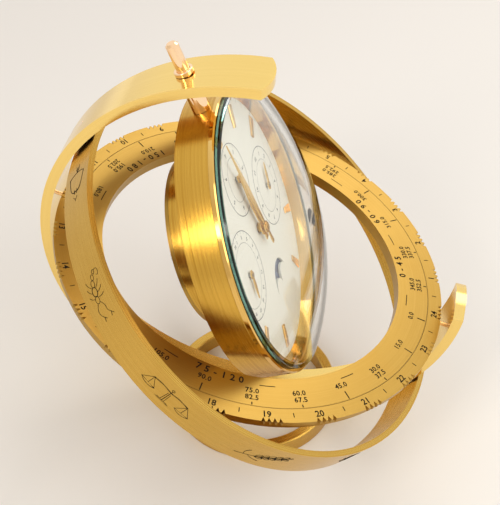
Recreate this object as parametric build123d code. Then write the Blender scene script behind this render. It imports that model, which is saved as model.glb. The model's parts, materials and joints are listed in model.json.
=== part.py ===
"""Armillary desk clock: three nested bands round a swivelling clock case, on an open base ring.

Millimetres, +Z up, front of the clock towards -Y. The origin is on the table, under the centre of the sphere.
"""

from build123d import *
import math
import os

# ---- Driving dimensions ----

sphere_height = 88.0          # table to the centre of the sphere
ring_tilt = 15.3              # time ring leans down towards the front, degrees

meridian_outer = 86.0         # radius
meridian_wall = 4.1
meridian_width = 20.5
meridian_back_tip = 2.8       # corner of the upper end, degrees from straight up towards the front
meridian_front_tip = 97.6     # corner of the lower end
tip_bulge = 3.0               # how far each rounded end stands past its corners

zodiac_wall = 2.4
zodiac_width = 15.9
zodiac_tilt = 23.9            # from the time ring, degrees
zodiac_lean = 2.1             # rolled towards the left about its rivets, degrees
band_gap = 0.15               # between nested bands where they cross

hour_outer = 80.0
hour_inner = 74.0
hour_thickness = 2.0
city_inner = 61.3
city_flange_outer = 78.8
city_thickness = 5.0
ring_clearance = 0.08         # radial running clearance of the turning hour ring
hours = 24
notches_per_hour = 4
notch_pitch = 1.55            # degrees
notch_depth = 1.7
notch_width = 1.5
notch_offset = 1.3            # degrees past the hour

stay_radius = 0.8             # pins that hold the time ring in the bands
stay_length = 9.0
rivet_radius = 1.5

base_outer = 37.0
base_wall = 4.4
base_height = 8.0
saddle_clearance = 0.3        # between the meridian band and its saddles

case_offset = 12.4            # case centre above the sphere's centre, along the spindle
case_setback = -2.4           # case rear face from the sphere's centre, along the dial's axis
case_tilt = 69.0              # dial's axis from straight up towards the front, degrees
case_yaw = 4.2                # case turned on its spindle at rest, degrees
case_radius = 58.0
case_wall = 3.5
case_depth = 15.0
case_floor = 2.5
spindle_level = 8.4           # spindle axis in front of the case's rear face
spindle_radius = 2.4
spindle_fit = 0.05            # radial clearance in the meridian band
spindle_rise = 12.5           # above the meridian band
spindle_bite = 2.4            # into the case wall
collar_radius = 3.6
collar_height = 1.6
bush_radius = 3.4
end_play = 0.12

bezel_height = 2.0
bezel_lip = 4.5
crystal_edge = 2.6            # height of the polished glass edge
crystal_rise = 14.6
crystal_thickness = 3.0
crystal_fit = 0.1

dial_face = 8.0               # front of the dial above the case's rear face
dial_thickness = 1.0
dial_flange_top = 54.2
dial_flange_foot = 51.8
plate_thickness = 1.6
plate_level = 3.6
plate_fit = 0.3
plate_rim = 2.5                # the wall that carries the dial
marker_radius = 44.5
marker_length = 9.0
marker_thickness = 0.7
subdial_top = 24.5
subdial_side = 27.5
moon_level = -29.0
moon_window = 9.5
moon_bump = 4.5
moon_bump_gap = 0.4           # half the land between the two bumps
moon_disc_thickness = 0.4

housing_radius = 34.0
housing_wall = 1.8
housing_depth = 15.4
cover_thickness = 1.4
spigot_radius = 29.85
spigot_wall = 1.4
floor_opening = 30.0

movement_size = 42.0
movement_wall = 1.2
movement_height = 8.0
lid_thickness = 1.2

gear_module = 0.8
cannon_teeth = 10
minute_wheel_teeth = 30
pinion_teeth = 8
hour_wheel_teeth = 32
gear_thickness = 1.5
cannon_level = -4.2
pinion_level = -2.6
hour_wheel_level = 0.0
minute_pipe = 1.0
hour_pipe_bore = 1.08
hour_pipe = 1.8
arbor_radius = 0.8
shaft_fit = 0.05
knob_radius = 4.2
knob_height = 3.0

hand_thickness = 0.5
hour_hand_level = 9.6
minute_hand_level = 11.0
hour_hand_length = 27.0
minute_hand_length = 42.0
small_hand_level = 8.9
small_hand_length = 9.5

# ---- Derived places ----

meridian_inner = meridian_outer - meridian_wall
centre = Vector(0, 0, sphere_height)


def toward(angle):
    """Unit vector in the meridian plane, at an angle from straight up towards the front."""
    a = math.radians(angle)
    return Vector(0, -math.sin(a), math.cos(a))


ring_plane = Plane(origin=centre, x_dir=toward(90 + ring_tilt), z_dir=toward(ring_tilt))
zodiac_axis_angle = ring_tilt + zodiac_tilt
zodiac_axis = (toward(zodiac_axis_angle) - Vector(math.tan(math.radians(zodiac_lean)), 0, 0)).normalized()
zodiac_low = toward(zodiac_axis_angle + 90)

# The zodiac band passes inside the meridian band at the back and outside it at the front, so it is set off
# towards the front by zodiac_shift.
inside_limit = math.sqrt(meridian_inner ** 2 - (zodiac_width / 2) ** 2) - band_gap
outside_limit = meridian_outer + band_gap
zodiac_inner = 83.0
for _ in range(30):
    zodiac_shift = outside_limit - math.sqrt(zodiac_inner ** 2 - (meridian_width / 2) ** 2)
    zodiac_inner = inside_limit - zodiac_wall + zodiac_shift
zodiac_outer = zodiac_inner + zodiac_wall
zodiac_plane = Plane(origin=centre + zodiac_low * zodiac_shift, x_dir=zodiac_low, z_dir=zodiac_axis)

spindle_dir = toward(case_tilt - 90)
dial_dir = toward(case_tilt)
spindle_point = centre + dial_dir * (case_setback + spindle_level)
case_plane = Plane(origin=centre + spindle_dir * case_offset + dial_dir * case_setback,
                   x_dir=Vector(1, 0, 0), z_dir=dial_dir)
case_turn = Axis(spindle_point, spindle_dir)


def tube(outer, inner, low, high):
    """A plain ring between two levels on its own axis."""
    ring = Cylinder(outer, high - low, align=(Align.CENTER, Align.CENTER, Align.MIN))
    if inner > 0:
        ring -= Cylinder(inner, high - low, align=(Align.CENTER, Align.CENTER, Align.MIN))
    return Pos(0, 0, low) * ring


def revolved(points):
    """A turned piece from its half section, given as (radius, level) pairs."""
    section = make_face(Polyline(*[(r, 0, z) for r, z in points], close=True))
    return revolve(section, Axis.Z)


def in_case(shape):
    """Place a piece from the case's own frame, turned on the spindle."""
    return (case_plane.location * shape).rotate(case_turn, case_yaw)


def save(name, shape):
    """Write one named piece."""
    solids = shape.solids() if hasattr(shape, "solids") else shape
    whole = solids[0] if len(solids) == 1 else Compound(children=list(solids))
    whole.label = name
    export_step(whole, os.path.join("parts", name + ".step"))


os.makedirs("parts", exist_ok=True)


# ---- Bands ----

def meridian_sector(first, last, radius):
    """A wedge of the meridian plane between two angles, wider than the band."""
    steps = 12
    rim = [toward(first + (last - first) * i / steps) * radius for i in range(steps + 1)]
    outline = [(0, 0)] + [(p.Y, p.Z) for p in rim]
    wedge = extrude(Plane.YZ * make_face(Polyline(*outline, close=True)), meridian_width, both=True)
    return Pos(*centre) * wedge


def meridian_ring():
    """The full hoop, before its front is opened."""
    hoop = Rot(0, 90, 0) * (Cylinder(meridian_outer, meridian_width) - Cylinder(meridian_inner, meridian_width))
    return Pos(*centre) * hoop


tip_radius = (meridian_width ** 2 / 4 + tip_bulge ** 2) / (2 * tip_bulge)
bulge_angle = math.degrees(tip_bulge / meridian_outer)


def rounded_tip(corner, way):
    """The convex end of the band past its corner angle; way is +1 towards the front, -1 back."""
    nose = corner + way * (bulge_angle + 0.6)
    root = corner - way * 1.0
    piece = meridian_ring() & meridian_sector(min(nose, root), max(nose, root), meridian_outer * 1.3)
    shift = toward(corner + way * 90) * (tip_bulge - tip_radius)
    cutter = Plane(origin=centre + shift, z_dir=toward(corner)).location * Cylinder(
        tip_radius, meridian_outer * 1.3, align=(Align.CENTER, Align.CENTER, Align.MIN))
    return piece & cutter


meridian_band = meridian_ring() - meridian_sector(meridian_back_tip, meridian_front_tip, meridian_outer * 1.6)
meridian_band = meridian_band + rounded_tip(meridian_back_tip, 1) + rounded_tip(meridian_front_tip, -1)

spindle_lathe = Plane(origin=spindle_point, z_dir=spindle_dir)
meridian_band -= spindle_lathe.location * tube(spindle_radius + spindle_fit, 0, 60, 110)

zodiac_band = zodiac_plane.location * tube(zodiac_outer, zodiac_inner, -zodiac_width / 2, zodiac_width / 2)


def radial_pin(direction, radius, low, high, offset=Vector(0, 0, 0)):
    """A round pin on a line out from the sphere's centre."""
    return Plane(origin=centre + offset, z_dir=direction).location * tube(radius, 0, low, high)


rivet_back = radial_pin(zodiac_low * -1, rivet_radius, zodiac_inner - zodiac_shift - 0.4, meridian_outer)
rivet_front = radial_pin(zodiac_low, rivet_radius, meridian_inner - 0.4, zodiac_outer + zodiac_shift)
meridian_band -= rivet_back + rivet_front
zodiac_band -= rivet_back + rivet_front

stay_level = ring_plane.z_dir * -(city_thickness + hour_thickness) * 0.5
stay_root = meridian_outer - stay_length
stay_ends = ((ring_plane.x_dir * -1, meridian_outer - 0.3), (ring_plane.x_dir, meridian_outer - 0.3),
             (Vector(-1, 0, 0), zodiac_outer - 0.5), (Vector(1, 0, 0), zodiac_outer - 0.5))
stays = [radial_pin(direction, stay_radius, stay_root, end, stay_level) for direction, end in stay_ends]
for stay in stays[:2]:
    meridian_band -= stay
for stay in stays[2:]:
    zodiac_band -= stay

save("meridian_band", meridian_band)
save("zodiac_band", zodiac_band)
save("band_rivets", rivet_back + rivet_front)
save("ring_stays", Compound(children=stays))

# ---- Time ring ----

city_ring = tube(hour_inner, city_inner, -city_thickness, 0)
city_ring += tube(city_flange_outer, hour_inner - 1, -city_thickness, -hour_thickness - ring_clearance)
city_ring = ring_plane.location * city_ring
for stay in stays:
    city_ring -= stay
save("city_ring", city_ring)

hour_ring = tube(hour_outer, hour_inner + ring_clearance, -hour_thickness, 0)
notch_outline = Polyline((hour_outer - notch_depth, 0), (hour_outer + 0.5, notch_width * 0.65),
                         (hour_outer + 0.5, -notch_width * 0.65), close=True)
notch = Pos(0, 0, -hour_thickness - 1) * extrude(make_face(notch_outline), hour_thickness + 2)
notches = []
for hour in range(hours):
    for step in range(notches_per_hour):
        turn = 360 / hours * hour + notch_offset + notch_pitch * (step - (notches_per_hour - 1) / 2)
        notches.append(Rot(0, 0, turn) * notch)
hour_ring -= notches
save("hour_ring", ring_plane.location * hour_ring)

# ---- Base ----

base_inner = base_outer - base_wall
base_ring = tube(base_outer, base_inner, 0, base_height)
base_ring = chamfer(base_ring.edges().group_by(Axis.Z)[-1], 0.5)
saddle = Pos(*centre) * (Rot(0, 90, 0) * Cylinder(meridian_outer + saddle_clearance,
                                                  meridian_width + 2 * saddle_clearance))
base_ring -= saddle
save("base_ring", base_ring)

# ---- Spindle, in the line of the case's top ----

case_top = case_offset + case_radius
band_here = math.sqrt(meridian_inner ** 2 - (case_setback + spindle_level) ** 2)
band_top = math.sqrt(meridian_outer ** 2 - (case_setback + spindle_level) ** 2)
# The band's surfaces slope a little across the spindle, so the collar and bush stand off by that slope.
slope = (case_setback + spindle_level) / meridian_outer
collar_seat = band_top + slope * collar_radius * 0.5 + end_play
bush_seat = band_here - slope * bush_radius - end_play - 0.35
spindle_end = band_top + spindle_rise

spindle = tube(spindle_radius, 0, case_top - spindle_bite, spindle_end)
spindle = chamfer(spindle.edges().group_by(Axis.Z)[-1], 0.8)
collar = tube(collar_radius, spindle_radius, collar_seat, collar_seat + collar_height)
collar = fillet(collar.edges().group_by(Axis.Z)[-1], 0.4)
bush = tube(bush_radius, spindle_radius, case_top + 0.05, bush_seat)


def on_spindle(shape):
    """Place a turned piece on the spindle's line."""
    return (spindle_lathe.location * shape).rotate(case_turn, case_yaw)


save("pivot_spindle", on_spindle(spindle))
save("spindle_collar", on_spindle(collar))
save("spindle_bush", on_spindle(bush))

# ---- Case ----

drum_inner = case_radius - case_wall
bezel_level = case_depth - bezel_height
case_drum = tube(case_radius, drum_inner, 0, bezel_level) + tube(case_radius, floor_opening, 0, case_floor)
case_drum += tube(drum_inner + 0.5, drum_inner - 2.0, case_floor - 0.5, plate_level)
socket = Rot(-90, 0, 0) * tube(spindle_radius, 0, case_radius - spindle_bite, case_radius + 5)
socket = Pos(0, 0, spindle_level) * socket
case_drum -= socket
save("case_drum", in_case(case_drum))

crystal_radius = case_radius - 1.6
bezel = tube(case_radius, case_radius - bezel_lip, bezel_level, case_depth)
bezel -= tube(crystal_radius + crystal_fit, 0, case_depth - 1.0, case_depth + 1)
bezel = chamfer(bezel.edges().group_by(Axis.Z)[-1].sort_by(SortBy.RADIUS)[-1:], 0.5)
save("bezel", in_case(bezel))


def cap(radius, rise, foot):
    """Part of a ball standing on a circle at the foot level."""
    ball = (radius ** 2 + rise ** 2) / (2 * rise)
    dome = Pos(0, 0, foot + rise - ball) * Sphere(ball)
    return dome & tube(radius, 0, foot, foot + rise + 1)


glass_foot = case_depth - 1.0
edge_top = glass_foot + crystal_edge
crystal = tube(crystal_radius, 0, glass_foot, edge_top) + cap(crystal_radius, crystal_rise, edge_top)
hollow = crystal_radius - crystal_thickness
crystal -= tube(hollow, 0, glass_foot - 1, glass_foot + 1) + cap(hollow, crystal_rise - 0.8, glass_foot + 1)
save("crystal", in_case(crystal))

dial_flange = revolved([
    (dial_flange_foot, dial_face), (dial_flange_top, dial_face), (dial_flange_top, bezel_level),
    (dial_flange_top - 0.6, bezel_level)])
save("dial_flange", in_case(dial_flange))

subdials = {"day": (0, subdial_top), "date": (-subdial_side, 0), "month": (subdial_side, 0)}
dial = tube(drum_inner - plate_fit, hour_pipe + 0.5, dial_face - dial_thickness, dial_face)
for x, y in subdials.values():
    dial -= Pos(x, y, 0) * tube(arbor_radius + 0.4, 0, 0, dial_face + 1)
window = Circle(moon_window) & Pos(0, moon_window / 2) * Rectangle(2 * moon_window, moon_window)
for side in (-1, 1):
    window -= Pos(side * (moon_bump + moon_bump_gap), 0) * Circle(moon_bump)
dial -= Pos(0, moon_level, dial_face - dial_thickness - 1) * extrude(window, dial_thickness + 2)
save("dial", in_case(dial))

markers = []
half_wide = 1.9
half_narrow = 1.2
for hour in (1, 2, 4, 5, 7, 8, 10, 11, 12):
    outline = Polyline((-half_wide, marker_length / 2), (half_wide, marker_length / 2),
                       (half_narrow, -marker_length / 2), (-half_narrow, -marker_length / 2), close=True)
    bar = extrude(make_face(outline), marker_thickness)
    bar = chamfer(bar.edges().group_by(Axis.Z)[-1], 0.3)
    markers.append(Pos(0, 0, dial_face) * (Rot(0, 0, -30 * hour) * (Pos(0, marker_radius, 0) * bar)))
save("applied_markers", in_case(Compound(children=markers)))

plate_radius = drum_inner - plate_fit
plate = tube(plate_radius, hour_pipe + 0.5, plate_level, plate_level + plate_thickness)
for x, y in subdials.values():
    plate -= Pos(x, y, 0) * tube(arbor_radius + shaft_fit, 0, 0, dial_face)
plate -= Pos(0, moon_level, 0) * tube(arbor_radius + shaft_fit, 0, 0, dial_face)
plate += tube(plate_radius, plate_radius - plate_rim, plate_level + plate_thickness - 0.2, dial_face - dial_thickness)
save("calendar_plate", in_case(plate))

# ---- Rear housing ----

housing_floor = -housing_depth + cover_thickness
housing = tube(housing_radius, housing_radius - housing_wall, housing_floor, 0)
housing += tube(housing_radius - housing_wall + 0.2, spigot_radius - spigot_wall, -1.6, 0)
housing += tube(spigot_radius, spigot_radius - spigot_wall, -0.8, case_floor - 0.3)
screw_circle = housing_radius - housing_wall - 2.4
screw_angles = (30, 150, 270)
lug_height = 6.0
for angle in screw_angles:
    lug = Rot(0, 0, angle) * (Pos(screw_circle + 0.8, 0, housing_floor) * Cylinder(
        2.2, lug_height, align=(Align.CENTER, Align.CENTER, Align.MIN)))
    housing += lug & tube(housing_radius - 0.5, 0, housing_floor, 0)
screw_radius = 1.0
screw_holes = []
cover_screws = []
for angle in screw_angles:
    spot = Rot(0, 0, angle) * Pos(screw_circle + 0.8, 0, 0)
    hole = spot * tube(screw_radius, 0, -housing_depth - 0.1, housing_floor + 4.5)
    screw_holes.append(hole)
    screw = tube(screw_radius, 0, -housing_depth, housing_floor + 4.0)
    screw += tube(1.9, 0, -housing_depth - 0.9, -housing_depth)
    screw -= Pos(0, 0, -housing_depth - 0.9) * Box(5, 0.5, 0.8)
    cover_screws.append(spot * screw)
housing -= screw_holes
save("rear_housing", in_case(housing))

gear_centres = gear_module * (cannon_teeth + minute_wheel_teeth) / 2
cover = tube(housing_radius, 0, -housing_depth, housing_floor)
cover -= screw_holes
cover -= Pos(0, -gear_centres, 0) * tube(arbor_radius + 0.6, 0, -housing_depth - 1, housing_floor + 1)
save("rear_cover", in_case(cover))
save("cover_screws", in_case(Compound(children=cover_screws)))

# ---- Movement ----

block_top = housing_floor + movement_height
block = Pos(0, 0, housing_floor) * Box(movement_size, movement_size, movement_height,
                                       align=(Align.CENTER, Align.CENTER, Align.MIN))
pocket = movement_size - 2 * movement_wall
block -= Pos(0, 0, housing_floor + movement_wall) * Box(pocket, pocket, movement_height,
                                                       align=(Align.CENTER, Align.CENTER, Align.MIN))
block = fillet(block.edges().filter_by(Axis.Z).group_by(SortBy.LENGTH)[-1], 0.8)
pivot_spots = ((0, 0), (0, -gear_centres))
for x, y in pivot_spots:
    block += Pos(x, y, 0) * tube(2.4, 0, housing_floor + 0.5, block_top)
    block -= Pos(x, y, 0) * tube(arbor_radius + shaft_fit, 0, housing_floor - 1, block_top + 1)
save("movement_case", in_case(block))

lid = Pos(0, 0, block_top) * Box(movement_size, movement_size, lid_thickness,
                                 align=(Align.CENTER, Align.CENTER, Align.MIN))
for x, y in pivot_spots:
    lid -= Pos(x, y, 0) * tube(arbor_radius + shaft_fit, 0, block_top - 1, block_top + lid_thickness + 1)
save("movement_lid", in_case(lid))

inner_floor = housing_floor + movement_wall
battery = Pos(11, 9, 0) * tube(8.0, 0, inner_floor, inner_floor + 3.6)
battery = fillet(battery.edges().group_by(Axis.Z)[-1], 0.4)
save("battery", in_case(battery))
circuit_board = Pos(-13, 8, inner_floor) * Box(11, 20, 1.0, align=(Align.CENTER, Align.CENTER, Align.MIN))
save("circuit_board", in_case(circuit_board))
coil_core = Pos(11, -12, inner_floor + 3.1) * (Rot(0, 90, 0) * Cylinder(1.0, 15))
coil = Pos(11, -12, inner_floor + 3.1) * (Rot(0, 90, 0) * (Cylinder(3.0, 11) - Cylinder(1.0, 11)))
save("coil_core", in_case(coil_core))
save("drive_coil", in_case(coil))


def gear(teeth, bore):
    """A light instrument wheel, with slim teeth that mesh with backlash."""
    pitch_radius = gear_module * teeth / 2
    root = pitch_radius - 0.95 * gear_module
    tip = pitch_radius + 0.70 * gear_module
    pitch_angle = 2 * math.pi / teeth
    points = []
    for tooth in range(teeth):
        for radius, share in ((root, -0.27), (tip, -0.11), (tip, 0.11), (root, 0.27)):
            angle = pitch_angle * (tooth + share)
            points.append((radius * math.cos(angle), radius * math.sin(angle)))
    wheel = extrude(make_face(Polyline(*points, close=True)), gear_thickness)
    if bore > 0:
        wheel -= Cylinder(bore, gear_thickness * 3)
    return wheel


# Teeth on the line between centres: one wheel has a tooth there and its mate a space.
down = -90
cannon = Rot(0, 0, down) * gear(cannon_teeth, 0)
minute_wheel = Rot(0, 0, 90 + 180 / minute_wheel_teeth) * gear(minute_wheel_teeth, 0)
pinion = Rot(0, 0, 90) * gear(pinion_teeth, 0)
hour_wheel = Rot(0, 0, down + 180 / hour_wheel_teeth) * gear(hour_wheel_teeth, hour_pipe_bore)

minute_arbor = Pos(0, 0, cannon_level) * cannon
minute_arbor += tube(minute_pipe, 0, cannon_level, minute_hand_level + 1.2)
minute_arbor += tube(arbor_radius, 0, housing_floor + 0.3, cannon_level)
save("minute_arbor", in_case(minute_arbor))

minute_wheel = Pos(0, -gear_centres, cannon_level) * minute_wheel
minute_wheel += Pos(0, -gear_centres, pinion_level) * (
    pinion + Pos(0, 0, gear_thickness) * pinion + Pos(0, 0, 2 * gear_thickness - 0.5) * pinion)
minute_wheel += Pos(0, -gear_centres, 0) * tube(1.4, 0, cannon_level, pinion_level + 0.2)
minute_wheel += Pos(0, -gear_centres, 0) * tube(arbor_radius, 0, -housing_depth - 1.5, cannon_level)
save("minute_wheel", in_case(minute_wheel))

knob_top = -housing_depth - 0.4
knob = tube(knob_radius, 0, knob_top - knob_height, knob_top)
ridges = [Rot(0, 0, 20 * i) * Pos(knob_radius + 0.15, 0, knob_top - knob_height / 2) * Cylinder(0.45, knob_height + 1)
          for i in range(18)]
knob -= ridges
knob -= tube(arbor_radius, 0, -housing_depth - 1.5, knob_top + 1)
save("setting_knob", in_case(Pos(0, -gear_centres, 0) * knob))

hour_wheel = Pos(0, 0, hour_wheel_level) * hour_wheel
hour_wheel += tube(hour_pipe, hour_pipe_bore, hour_wheel_level, hour_hand_level + hand_thickness)
save("hour_wheel", in_case(hour_wheel))


# ---- Hands ----

def leaf_hand(length, half_width, hub, bore, level, angle):
    """A slim leaf-shaped hand that points at an angle clockwise from twelve."""
    leaf = make_face(Polyline((-half_width * 0.35, 0), (-half_width, length * 0.45), (0, length),
                              (half_width, length * 0.45), (half_width * 0.35, 0), close=True))
    tail = make_face(Polyline((-half_width * 0.35, 0), (-half_width * 0.6, -length * 0.2),
                              (half_width * 0.6, -length * 0.2), (half_width * 0.35, 0), close=True))
    hand = extrude(leaf + tail + Circle(hub), hand_thickness)
    hand -= Cylinder(bore, hand_thickness * 3)
    return Rot(0, 0, -angle) * (Pos(0, 0, level) * hand)


minute_angle = -4.0
hour_angle = -0.3
save("minute_hand", in_case(leaf_hand(minute_hand_length, 1.5, 2.4, minute_pipe, minute_hand_level, minute_angle)))
save("hour_hand", in_case(leaf_hand(hour_hand_length, 2.1, 3.0, hour_pipe, hour_hand_level, hour_angle)))
save("hand_cap", in_case(tube(1.7, minute_pipe, minute_hand_level + hand_thickness,
                              minute_hand_level + hand_thickness + 0.5)))

small_angles = {"day": 150, "date": 200, "month": 30}
for name, (x, y) in subdials.items():
    spot = Pos(x, y, 0)
    arbor = tube(arbor_radius, 0, plate_level - 0.7, small_hand_level + hand_thickness + 0.2)
    arbor += tube(1.6, 0, plate_level - 0.8, plate_level - 0.15)
    hand = leaf_hand(small_hand_length, 0.9, 1.5, arbor_radius, small_hand_level, small_angles[name])
    save(name + "_arbor", in_case(spot * arbor))
    save(name + "_hand", in_case(spot * hand))

moon_floor = dial_face - dial_thickness - 0.3 - moon_disc_thickness
moon = tube(moon_window + 0.7, 0, moon_floor, moon_floor + moon_disc_thickness)
moon += tube(arbor_radius, 0, plate_level - 0.6, moon_floor + 0.1)
save("moon_disc", in_case(Pos(0, moon_level, 0) * moon))
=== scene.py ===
# Looks of a gilt armillary desk clock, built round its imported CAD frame. Lengths are in metres.
import json
import math
import bpy
import bmesh
from mathutils import Matrix, Vector


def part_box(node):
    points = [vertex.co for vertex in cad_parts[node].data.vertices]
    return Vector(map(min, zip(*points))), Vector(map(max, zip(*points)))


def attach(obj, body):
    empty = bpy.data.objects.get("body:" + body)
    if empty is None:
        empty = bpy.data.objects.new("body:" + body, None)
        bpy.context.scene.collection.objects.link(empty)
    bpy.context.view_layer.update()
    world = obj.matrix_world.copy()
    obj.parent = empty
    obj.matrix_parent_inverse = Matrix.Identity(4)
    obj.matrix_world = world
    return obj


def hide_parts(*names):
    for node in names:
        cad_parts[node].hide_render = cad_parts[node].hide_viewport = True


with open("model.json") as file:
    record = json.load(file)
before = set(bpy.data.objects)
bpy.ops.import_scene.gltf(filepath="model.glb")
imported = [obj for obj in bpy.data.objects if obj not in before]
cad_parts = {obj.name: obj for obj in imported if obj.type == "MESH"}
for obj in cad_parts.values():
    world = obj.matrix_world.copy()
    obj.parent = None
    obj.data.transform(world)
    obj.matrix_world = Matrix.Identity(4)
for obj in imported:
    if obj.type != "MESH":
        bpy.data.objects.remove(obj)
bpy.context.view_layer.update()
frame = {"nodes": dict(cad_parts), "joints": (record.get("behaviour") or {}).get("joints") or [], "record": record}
bpy.ops.object.select_all(action="DESELECT")
nodes = frame["nodes"]
joints = {joint["name"]: joint for joint in frame["joints"]}
mm = 0.001
print("frame loaded:", len(nodes), "nodes")


# places taken from the frame

def placeOn(origin, axis, acrossHint):
    # a matrix whose Z is the axis and whose X lies as near as it can to the hint
    z = Vector(axis).normalized()
    y = z.cross(Vector(acrossHint)).normalized()
    x = y.cross(z)
    place = Matrix((x, y, z)).transposed().to_4x4()
    place.translation = Vector(origin)
    return place


def reach(name, place):
    # least and greatest radius and level of a node, measured about a place's own Z
    inverse = place.inverted()
    spots = [inverse @ vertex.co for vertex in nodes[name].data.vertices]
    radii = [math.hypot(spot.x, spot.y) for spot in spots]
    levels = [spot.z for spot in spots]
    return {"inner": min(radii), "outer": max(radii), "low": min(levels), "high": max(levels)}


front = Vector((0, -1, 0))
ringTurn = joints["hour_ring_turn"]
ringPlace = placeOn(ringTurn["pos_m"], ringTurn["axis"], front)  # X runs to the front of the ring
toTwelve = Vector(joints["day_turn"]["pos_m"]) - Vector(joints["minute_turn"]["pos_m"])
dialAxis = Vector(joints["minute_turn"]["axis"]) * -1
casePlace = placeOn(joints["minute_turn"]["pos_m"], dialAxis, toTwelve.cross(dialAxis))  # X right, Y to twelve
zodiacSettings = {"lean": 39.2, "roll": 2.1}  # band's axis from upright: to the front, then to the left
zodiacLow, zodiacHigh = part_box("zodiac_band")
lean = math.radians(zodiacSettings["lean"])
roll = math.tan(math.radians(zodiacSettings["roll"]))
zodiacPlace = placeOn((zodiacLow + zodiacHigh) / 2, (-roll, -math.sin(lean), math.cos(lean)),
                      (0, -math.cos(lean), -math.sin(lean)))  # X points to the lowest part of the band
spherePlace = placeOn(joints["sphere_tilt"]["pos_m"], (1, 0, 0), front)
basePlace = Matrix.Identity(4)


# camera, lights and floor

cameraSettings = {"azimuth": -78.57, "elevation": 43.47, "distance": 0.4137,
                  "aimForward": 0.00184, "lens": 73.3}


def addCamera():
    s = cameraSettings
    az, el = math.radians(s["azimuth"]), math.radians(s["elevation"])
    sphereCentre = Vector(joints["sphere_tilt"]["pos_m"])
    aim = sphereCentre + Vector((0, s["aimForward"], 0))
    away = Vector((math.cos(el) * math.sin(az), -math.cos(el) * math.cos(az), math.sin(el)))
    camera = bpy.data.objects.new("camera", bpy.data.cameras.new("camera"))
    bpy.context.scene.collection.objects.link(camera)
    camera.data.lens = s["lens"]
    camera.data.clip_start = 0.01
    camera.location = aim + away * s["distance"]
    camera.rotation_euler = (-away).to_track_quat("-Z", "Y").to_euler()
    bpy.context.scene.camera = camera
    return aim


lampSettings = {
    "windowSoftbox": {"at": (-0.25, -1.10, 0.95), "size": (0.8, 0.8), "power": 4.2,
                      "colour": (1.0, 0.97, 0.93)},
    "backSoftbox": {"at": (0.85, -0.25, 1.00), "size": (0.55, 0.8), "power": 3.0, "colour": (1.0, 0.98, 0.95)},
    "sideSoftbox": {"at": (-0.85, 0.45, 0.80), "size": (0.30, 0.45), "power": 3.5, "colour": (1.0, 0.95, 0.88)},
}


def addLamps(aim):
    for name, s in lampSettings.items():
        lamp = bpy.data.lights.new(name, "AREA")
        lamp.shape = "RECTANGLE"
        lamp.size, lamp.size_y = s["size"]
        lamp.energy = s["power"]
        lamp.color = s["colour"]
        holder = bpy.data.objects.new(name, lamp)
        bpy.context.scene.collection.objects.link(holder)
        holder.location = s["at"]
        holder.rotation_euler = (aim - Vector(s["at"])).to_track_quat("-Z", "Y").to_euler()


# shader maths

class Wire:
    # one output in a node tree; sums written on it add Math nodes
    def __init__(self, tree, socket):
        self.tree, self.socket = tree, socket

    def maths(self, operation, *others):
        node = self.tree.nodes.new("ShaderNodeMath")
        node.operation = operation
        for slot, value in zip(node.inputs, (self,) + others):
            plug(self.tree, slot, value)
        return Wire(self.tree, node.outputs[0])

    def swapped(self, operation, other):
        node = self.tree.nodes.new("ShaderNodeMath")
        node.operation = operation
        plug(self.tree, node.inputs[0], other)
        plug(self.tree, node.inputs[1], self)
        return Wire(self.tree, node.outputs[0])

    def __add__(self, other): return self.maths("ADD", other)
    def __radd__(self, other): return self.maths("ADD", other)
    def __sub__(self, other): return self.maths("SUBTRACT", other)
    def __rsub__(self, other): return self.swapped("SUBTRACT", other)
    def __mul__(self, other): return self.maths("MULTIPLY", other)
    def __rmul__(self, other): return self.maths("MULTIPLY", other)
    def __truediv__(self, other): return self.maths("DIVIDE", other)

    def rise(self, start, end):
        # 0 below start, 1 above end, smooth between
        node = self.tree.nodes.new("ShaderNodeMapRange")
        node.interpolation_type = "SMOOTHSTEP"
        plug(self.tree, node.inputs["Value"], self)
        node.inputs["From Min"].default_value = start
        node.inputs["From Max"].default_value = end
        return Wire(self.tree, node.outputs[0])


def plug(tree, slot, value):
    if isinstance(value, Wire):
        tree.links.new(value.socket, slot)
    elif isinstance(value, (tuple, list)) and slot.type == "RGBA" and len(value) == 3:
        slot.default_value = (*value, 1.0)
    else:
        slot.default_value = value


def sightRays(tree):
    # 1 for what the camera, gloss and glass see, 0 for the light that falls on the clock
    path = tree.nodes.new("ShaderNodeLightPath")
    seen = Wire(tree, path.outputs["Is Camera Ray"])
    for kind in ("Is Glossy Ray", "Is Transmission Ray"):
        seen = seen.maths("MAXIMUM", Wire(tree, path.outputs[kind]))
    return seen


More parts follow.
